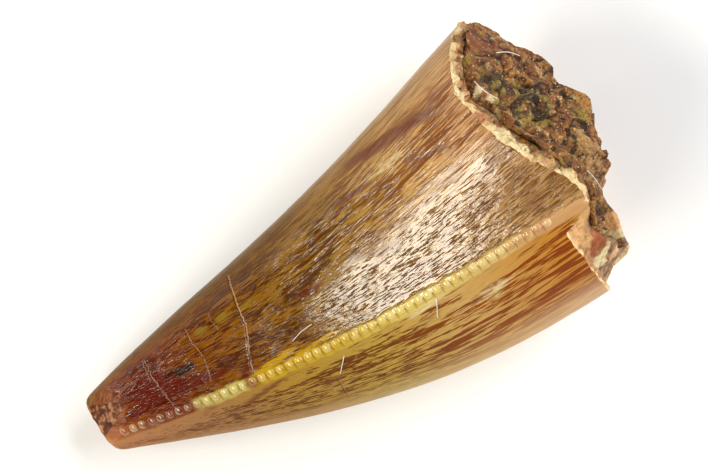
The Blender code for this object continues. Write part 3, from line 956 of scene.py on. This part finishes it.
def enamel_finish():
    """Satin enamel in stripes along the tooth, glossy where its wrinkles catch the light, and stained;
    with painted shade in its wrinkle valleys and between its denticles, painted light where it turns down,
    and a painted honey tint under its main highlight.
    """
    paint = Paint("enamel")
    skin = paint.attribute("skin")
    station, up, side = paint.split(paint.attribute("place"))
    keel_gap, flank, shoulder = paint.split(paint.attribute("faces"))
    amber, wine, soot = paint.split(paint.attribute("warm_stains"))
    gold, cream, plum = paint.split(paint.attribute("pale_stains"))

    wander = paint.noise(paint.stretch(skin, 0.45, 1.1), detail=2.0) - 0.5
    bands = paint.noise(paint.stretch(skin, 0.20, 4.6), detail=2.0, roughness=0.55, distortion=0.1)
    streaks = paint.noise(paint.stretch(skin, 0.28, 18.0), detail=3.0, roughness=0.65)
    mottle = paint.noise(paint.stretch(skin, 2.2, 4.4), detail=4.0, roughness=0.62)
    short = paint.noise(paint.stretch(skin, 2.3, 27.0), detail=1.0, roughness=0.5, distortion=0.05)
    long = paint.noise(paint.stretch(skin, 1.1, 17.0), detail=1.2, roughness=0.5, distortion=0.1)
    zone = paint.rise(side + 0.5 * wander, -0.28, -0.12) * paint.rise(station, 6.6, 7.6) * (1 - flank)
    wrinkle = long + zone * (short - long)
    valley = paint.fall(wrinkle - 0.05 * zone, 0.35, 0.45)
    # near marks where the main panel's highlight falls; it sets the gloss there and a painted honey tint
    near = paint.rise(side + 0.6 * wander, -0.42, -0.16) * paint.rise(station + 1.5 * wander, 7.4, 8.6)
    near = near * (1 - flank)
    tall = 0.28 + 0.72 * paint.rise(station + 2.0 * wander, 7.0, 8.0) + 0.30 * zone
    tall = tall + 0.55 * paint.fall(station, 3.2, 4.4) * paint.rise(station, 0.8, 1.3)
    wiggle = paint.noise(paint.stretch(skin, 1.0, 7.0), detail=3.0, roughness=0.6) - 0.5

    stripe = 0.7 * bands + 0.15 + 1.6 * (streaks - 0.5) + 0.5 * wander
    light = paint.rise(stripe + 0.2 * (mottle - 0.5), 0.35, 0.65)
    top = paint.mix(light, paint.along(station, TOP_DARK), paint.along(station, TOP_LIGHT))
    edge = paint.mix(0.2 + 0.6 * light, paint.along(station, EDGE_DARK), paint.along(station, EDGE_LIGHT))
    # Painted light: the low side grows paler as it turns down towards the floor
    low_light = paint.mix(paint.fall(up, -0.05, 0.40), paint.along(station, LOW_LIGHT),
                          paint.along(station, UNDERSIDE_PAINTED_LIGHT))
    margin = paint.fall(keel_gap + 1.1 * wander, 0.30, 0.85)
    # under marks the faces turned down; their stripes are paler there, as painted light from the floor
    under = paint.fall(up, 0.0, 0.40)
    ridges = paint.noise(paint.stretch(skin, 0.11, 7.5), detail=2.0, roughness=0.5)
    fine = 0.6 * bands + 0.2 + 1.5 * (streaks - 0.5)
    coarse = 0.46 + 1.5 * (ridges - 0.5) + (streaks - 0.5)
    stripes = fine + paint.rise(station + 2.0 * wander, 8.5, 11.5) * (coarse - fine)
    pale = paint.rise(stripes + 0.22 * margin, 0.40, 0.58) * (1 - 0.5 * under) + 0.3 * under
    low = paint.mix(pale, paint.along(station, LOW_DARK), low_light)
    # Painted highlight: the enamel is tinted honey where the main highlight falls, so that the highlight
    # reads cream
    top = paint.mix(near * 0.4, top, HONEY)
    colour = paint.mix(flank, paint.mix(shoulder, top, edge), low)

    break_up = 0.9 * (streaks - 0.5) + 0.9 * (mottle - 0.5)
    stains = ((plum, PLUM, 0.75), (amber, OLIVE, 0.85), (wine, WINE, 0.85), (soot, SOOT, 0.9),
              (gold, GOLD, 0.85), (cream, CREAM, 0.85))
    for mask, tone, amount in stains:
        colour = paint.mix(paint.rise(mask + break_up, 0.28, 0.72) * amount, colour, tone)

    on_keel = paint.fall(abs(keel_gap - 0.03) + 0.25 * (mottle - 0.5), 0.14, 0.26)
    colour = paint.mix(on_keel * 0.85, colour, paint.along(station, CREST))
    # Painted shade: rust-dark lines in the grooves between the denticles, which are also pressed in as
    # bump
    tooth_wave = paint.maths("FRACT", (station - DENTICLE_START / MM) * (MM / DENTICLE_PITCH))
    notch = paint.rise(abs(tooth_wave - 0.5), 0.34, 0.48) * paint.fall(abs(keel_gap - 0.05), 0.10, 0.22)
    notch = notch * paint.fall(station, 15.3, 15.5)
    colour = paint.mix(notch * 0.45, colour, RUST)
    crack_dark = 0.0
    crack_pale = 0.0
    gaps = paint.split(paint.attribute("first_cracks")) + paint.split(paint.attribute("other_cracks"))
    for gap, width in zip(gaps, CRACK_WIDTHS):
        away = gap + 0.16 * wiggle
        crack_pale = crack_pale + paint.fall(abs(away), width * 0.5, width * 1.3)
        crack_dark = crack_dark + paint.fall(abs(away + 1.2 * width), width, width * 3.0)
    faint = paint.rise(mottle, 0.36, 0.50)
    colour = paint.mix(crack_dark * 0.7, colour, UMBER)
    colour = paint.mix(crack_pale * (0.25 + 0.6 * faint), colour, CLAY)
    # Painted light: the flank, as it slopes away below the carina, is washed with the pale underside tones
    painted_floor_light = flank * paint.fall(up, 0.28, 0.66) * 0.70
    colour = paint.mix(painted_floor_light, colour, paint.along(station, UNDERSIDE_PAINTED_LIGHT))
    # Painted shade: the wrinkle valleys are darkened, more strongly where the main highlight falls, so
    # they read as dark lines in it
    crease_shade = valley * (0.30 + 0.40 * zone) * (1 - 0.6 * flank) * (1 - 0.9 * on_keel)
    colour = paint.mix(crease_shade, colour, CREASE_SHADE)
    grit = paint.noise(paint.spot(), scale=5200.0, detail=3.0)
    worn = paint.rise(paint.number("worn") + 0.8 * (grit - 0.5), 0.35, 0.65)
    colour = paint.mix(worn * 0.85, colour, paint.ramp(grit, (0.36, UMBER), (0.50, WORN), (0.68, CLAY)))
    dull = paint.fall(up, 0.50, 0.80) * paint.rise(up, -0.1, 0.3)
    roughness = 0.08 + 0.08 * mottle + 0.42 * dull + 0.22 * flank + 0.25 * crack_pale + 0.35 * worn
    crest_height = paint.maths("MINIMUM", wrinkle, 0.46) + 0.14 * mottle * zone
    height = crest_height * tall * (1 - 0.8 * on_keel) + 0.06 * streaks - 0.04 * crack_dark - 0.03 * notch
    creases = paint.fall(wrinkle, 0.45, 0.50)
    gloss = near * (1 - 0.8 * paint.fall(wrinkle, 0.34, 0.44))
    gloss = gloss + (1 - near) * (0.06 + (0.50 + 0.30 * paint.rise(station, 7.5, 9.0)) * creases)
    gloss = gloss * paint.rise(up, 0.52, 0.74) * (1 - flank) + 0.7 * paint.fall(up, 0.05, 0.35)
    gloss = gloss * (1 - 0.8 * worn)
    gloss = paint.maths("MINIMUM", gloss, 1.0)
    satin = paint.surface(SATIN, colour, roughness, height, ENAMEL_RELIEF)
    glossy = paint.surface(GLOSSY, colour, roughness, height, ENAMEL_RELIEF)
    return paint.finish(paint.blend(gloss, satin, glossy))


def denticle_finish():
    """The enamel of the denticles, glossy and a little mottled."""
    paint = Paint("denticle_enamel")
    station = paint.split(paint.attribute("place"))[0]
    spot = paint.spot()
    mottle = paint.noise(spot, scale=2600.0, detail=3.0)
    colour = paint.mix(paint.rise(mottle, 0.40, 0.66) * 0.35, paint.along(station, CREST), CREAM)
    colour = paint.mix(paint.fall(mottle, 0.34, 0.46) * 0.35, colour, RUST)
    return paint.finish(paint.surface(GLOSSY, colour, 0.10 + 0.10 * mottle, mottle, DENTICLE_RELIEF))


def dentine_finish():
    """The broken wall: cream and amber dentine, stained by the mudstone towards the cavity."""
    paint = Paint("broken_dentine")
    spot = paint.spot()
    share = paint.number("depth") * (1 / WALL_ROWS)
    hollow = paint.number("hollow")
    rose, wine, cream = paint.split(paint.attribute("wall_tints"))
    broad = paint.noise(spot, scale=1300.0, detail=4.0, roughness=0.6)
    blotch = paint.noise(spot, scale=3400.0, detail=3.0, roughness=0.65)
    grain = paint.noise(spot, scale=9000.0, detail=2.0, roughness=0.6)
    tone = 0.5 * broad + 0.5 * blotch
    colour = paint.ramp(tone, (0.40, AMBER), (0.46, CLAY), (0.52, STRAW), (0.58, CREAM), (0.64, CLAY))
    stained = paint.rise(share + 2.6 * (broad - 0.5) + 1.0 * (blotch - 0.5), 0.38, 0.62)
    stain = paint.ramp(blotch, (0.38, STONE_DARK), (0.48, STONE_BROWN), (0.58, STONE_RUSSET),
                       (0.66, STONE_TAN))
    colour = paint.mix(stained * 0.80, colour, stain)
    edge = paint.fall(share + 0.9 * (blotch - 0.5) + 1.8 * (broad - 0.48), 0.06, 0.26)
    colour = paint.mix(edge * 0.7, colour, CREAM)
    break_up = 0.9 * (blotch - 0.5) + 0.7 * (broad - 0.5)
    colour = paint.mix(paint.rise(cream + break_up, 0.30, 0.60) * 0.95, colour, CREAM)
    colour = paint.mix(paint.rise(rose + break_up, 0.22, 0.60) * 0.9, colour, ROSE)
    colour = paint.mix(paint.rise(wine + break_up, 0.30, 0.60) * 0.8, colour, RUST)
    # Painted shade: the wall's crevices and recesses are darkened towards brown
    colour = paint.mix(paint.rise(hollow + 0.6 * (grain - 0.5), 0.35, 0.80) * 0.7, colour, STONE_BROWN)
    colour = paint.mix(paint.rise(grain, 0.54, 0.70) * 0.30, colour, AMBER)
    height = broad + 0.6 * blotch + 0.4 * grain
    return paint.finish(paint.surface(BONE, colour, 0.28 + 0.3 * grain, height, DENTINE_RELIEF))


def mudstone_finish():
    """Dull mudstone: crumbs in browns and russet, mossy patches, painted shade in its crevices and
    recesses, and painted glints on a few smoother grains.
    """
    paint = Paint("mudstone")
    spot = paint.spot()
    hollow = paint.number("hollow")
    moss, russet, painted_recess_shade = paint.split(paint.attribute("stone_tints"))
    tan, amber, pale = paint.split(paint.attribute("more_tints"))
    broad = paint.noise(spot, scale=900.0, detail=4.0, roughness=0.6)
    blotch = paint.noise(spot, scale=3200.0, detail=3.0, roughness=0.65)
    grain = paint.noise(spot, scale=9000.0, detail=2.0, roughness=0.7)
    inputs = {"Vector": spot, "Scale": 5200.0, "Detail": 2.0}
    swirl = paint.signal("ShaderNodeTexNoise", {}, inputs, "Color")
    bent = paint.shift(spot, swirl, 0.16 * MM)
    first, second, third = paint.split(paint.cells(bent, 4200.0, output="Color"))
    fine_first, fine_second = paint.split(paint.cells(bent, 11000.0, output="Color"))[:2]
    pick = 0.50 * first + 0.28 * fine_first + 1.1 * (blotch - 0.5) + 0.11
    colour = paint.ramp(pick, (0.14, STONE_DARK), (0.30, STONE_BROWN), (0.44, STONE_RUSSET),
                        (0.56, STONE_BROWN), (0.68, STONE_ORANGE), (0.78, STONE_BROWN), (0.90, STONE_TAN))
    break_up = 0.7 * (second - 0.5) + 0.9 * (blotch - 0.5)
    patches = ((russet, STONE_RUSSET, 0.75), (tan, STONE_TAN, 0.35), (amber, STONE_ORANGE, 0.85),
               # The third of the first tints is painted shade laid over the dark recesses of the broken
               # end
               (moss, STONE_MOSS, 0.75), (painted_recess_shade, STONE_DARK, 0.9), (pale, CREAM, 0.8))
    for mask, tone, amount in patches:
        colour = paint.mix(paint.rise(mask + break_up, 0.22, 0.70) * amount, colour, tone)
    colour = paint.mix(paint.rise(broad + 0.25 * (third - 0.5), 0.58, 0.68) * 0.75, colour, STONE_MOSS)
    # Painted shade: crevices and deep spots are darkened
    colour = paint.mix(paint.rise(hollow + 0.5 * (grain - 0.5), 0.22, 0.75) * 0.9, colour, STONE_DARK)
    # Painted highlight: a few tiny grains are lightened to cream as glints, and made smoother
    painted_glint = paint.fall(paint.cells(bent, 11000.0), 0.10, 0.28) * paint.rise(fine_second, 0.72, 0.80)
    colour = paint.mix(painted_glint * 0.8, colour, CREAM)
    height = 0.5 * broad + 0.8 * blotch + 0.7 * grain
    return paint.finish(paint.surface(STONE, colour, 0.55 - 0.4 * painted_glint, height, STONE_RELIEF))


def lint_finish():
    paint = Paint("lint")
    spot = paint.spot()
    tone = paint.noise(spot, scale=3000.0, detail=2.0)
    colour = paint.mix(tone, linear(225, 205, 190), linear(250, 240, 232))
    return paint.finish(paint.surface(FIBRE, colour, 0.5, tone, LINT_RELIEF))


def dress(item, *materials):
    """Give a piece its materials and smooth faces."""
    item.data.materials.clear()
    for material in materials:
        item.data.materials.append(material)
    for face in item.data.polygons:
        face.use_smooth = True


def add_floor():
    """A plain pale floor, a hair below the tooth."""
    start_clean()
    bpy.ops.mesh.primitive_plane_add(size=FLOOR_SIZE, location=(0.0, 0.0, -FLOOR_GAP))
    floor = bpy.context.active_object
    floor.name = "floor"
    paint = Paint("pale_floor")
    spot = paint.spot()
    tone = paint.noise(spot, scale=40.0, detail=2.0)
    colour = paint.mix(tone, (0.90, 0.90, 0.90, 1.0), (0.93, 0.93, 0.93, 1.0))
    floor.data.materials.append(paint.finish(paint.surface(FLOOR, colour, 0.8, tone, 0.0)))


# The soft panels that light the tooth: name, lean and swing, width and height in metres, watts, colour
PANELS = (
    ("main_panel", math.radians(42), math.radians(4), 0.048, 0.26, 0.57, (1.0, 0.97, 0.86)),
    ("glint_panel", math.radians(80), math.radians(38), 0.03, 0.03, 0.13, (1.0, 0.95, 0.82)),
    ("fill_panel", math.radians(-58), 0.0, 0.20, 0.30, 0.95, (1.0, 1.0, 1.0)),
)
PANEL_DISTANCE = 0.25
PANEL_TARGET = Vector((0.0, 0.0, 4.0 * MM))
STUDIO_LIGHT = 0.25
FLOOR_SIZE = 2.0
FLOOR_GAP = 0.01 * MM


def add_panel(name, angle, swing, width, height, power, warmth):
    """A soft panel that faces the tooth, leaning from straight up towards -X, then swung towards +Y."""
    away = Vector((-math.sin(angle) * math.cos(swing), math.sin(swing), math.cos(angle) * math.cos(swing)))
    data = bpy.data.lights.new(name, "AREA")
    data.shape = "RECTANGLE"
    data.size = width
    data.size_y = height
    data.energy = power
    data.color = warmth
    lamp = bpy.data.objects.new(name, data)
    bpy.context.scene.collection.objects.link(lamp)
    side = Vector((0.0, 1.0, 0.0)) - away * away.y
    side.normalize()
    matrix = Matrix((side.cross(away), side, away)).transposed().to_4x4()
    matrix.translation = PANEL_TARGET + away * PANEL_DISTANCE
    lamp.matrix_world = matrix


def add_studio():
    """Even white light from all round."""
    world = bpy.data.worlds.new("studio")
    bpy.context.scene.world = world
    world.use_nodes = True
    background = world.node_tree.nodes["Background"]
    background.inputs["Color"].default_value = (1.0, 1.0, 1.0, 1.0)
    background.inputs["Strength"].default_value = STUDIO_LIGHT


def add_camera():
    """Look nearly straight down, at the photograph's angle."""
    back = Vector((math.sin(VIEW_LEAN), 0.0, math.cos(VIEW_LEAN)))
    long_side = Vector((math.cos(VIEW_LEAN), 0.0, -math.sin(VIEW_LEAN)))
    across = Vector((0.0, 1.0, 0.0))
    right = long_side * math.cos(VIEW_ROLL) - across * math.sin(VIEW_ROLL)
    up = long_side * math.sin(VIEW_ROLL) + across * math.cos(VIEW_ROLL)
    data = bpy.data.cameras.new("camera")
    data.lens = LENS
    data.clip_start = MM
    camera = bpy.data.objects.new("camera", data)
    bpy.context.scene.collection.objects.link(camera)
    matrix = Matrix((right, up, back)).transposed().to_4x4()
    matrix.translation = VIEW_TARGET + back * (VIEW_WIDTH * LENS / SENSOR)
    camera.matrix_world = matrix
    bpy.context.scene.camera = camera


enamel = enamel_finish()
denticle_enamel = denticle_finish()
dentine = dentine_finish()
mudstone = mudstone_finish()
lint = lint_finish()

crown = build_crown()
dress(crown, enamel, dentine)
depth = crown.data.attributes["depth"].data
for face in crown.data.polygons:
    if min(depth[vertex].value for vertex in face.vertices) >= 0:
        face.material_index = 1
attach(crown, "root")
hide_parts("crown")

loose = loose_denticle()
for name, turn in (("upper_denticles", 0.0), ("lower_denticles", SECOND_KEEL)):
    row = build_denticles(name, turn, loose)
    dress(row, denticle_enamel)
    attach(row, "root")
bpy.data.objects.remove(loose, do_unlink=True)

filling = build_matrix()
dress(filling, mudstone)
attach(filling, "root")
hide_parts("cavity_matrix")

paths = [on_skin(points) for points in LINT]
paths += [[Vector(point) * MM for point in points] for points in STONE_LINT]
for number, path in enumerate(paths, 1):
    fibre = lint_fibre(number, path)
    dress(fibre, lint)
    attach(fibre, "root")

add_floor()
for panel in PANELS:
    add_panel(*panel)
add_studio()
add_camera()
bpy.context.scene.view_settings.view_transform = "Standard"
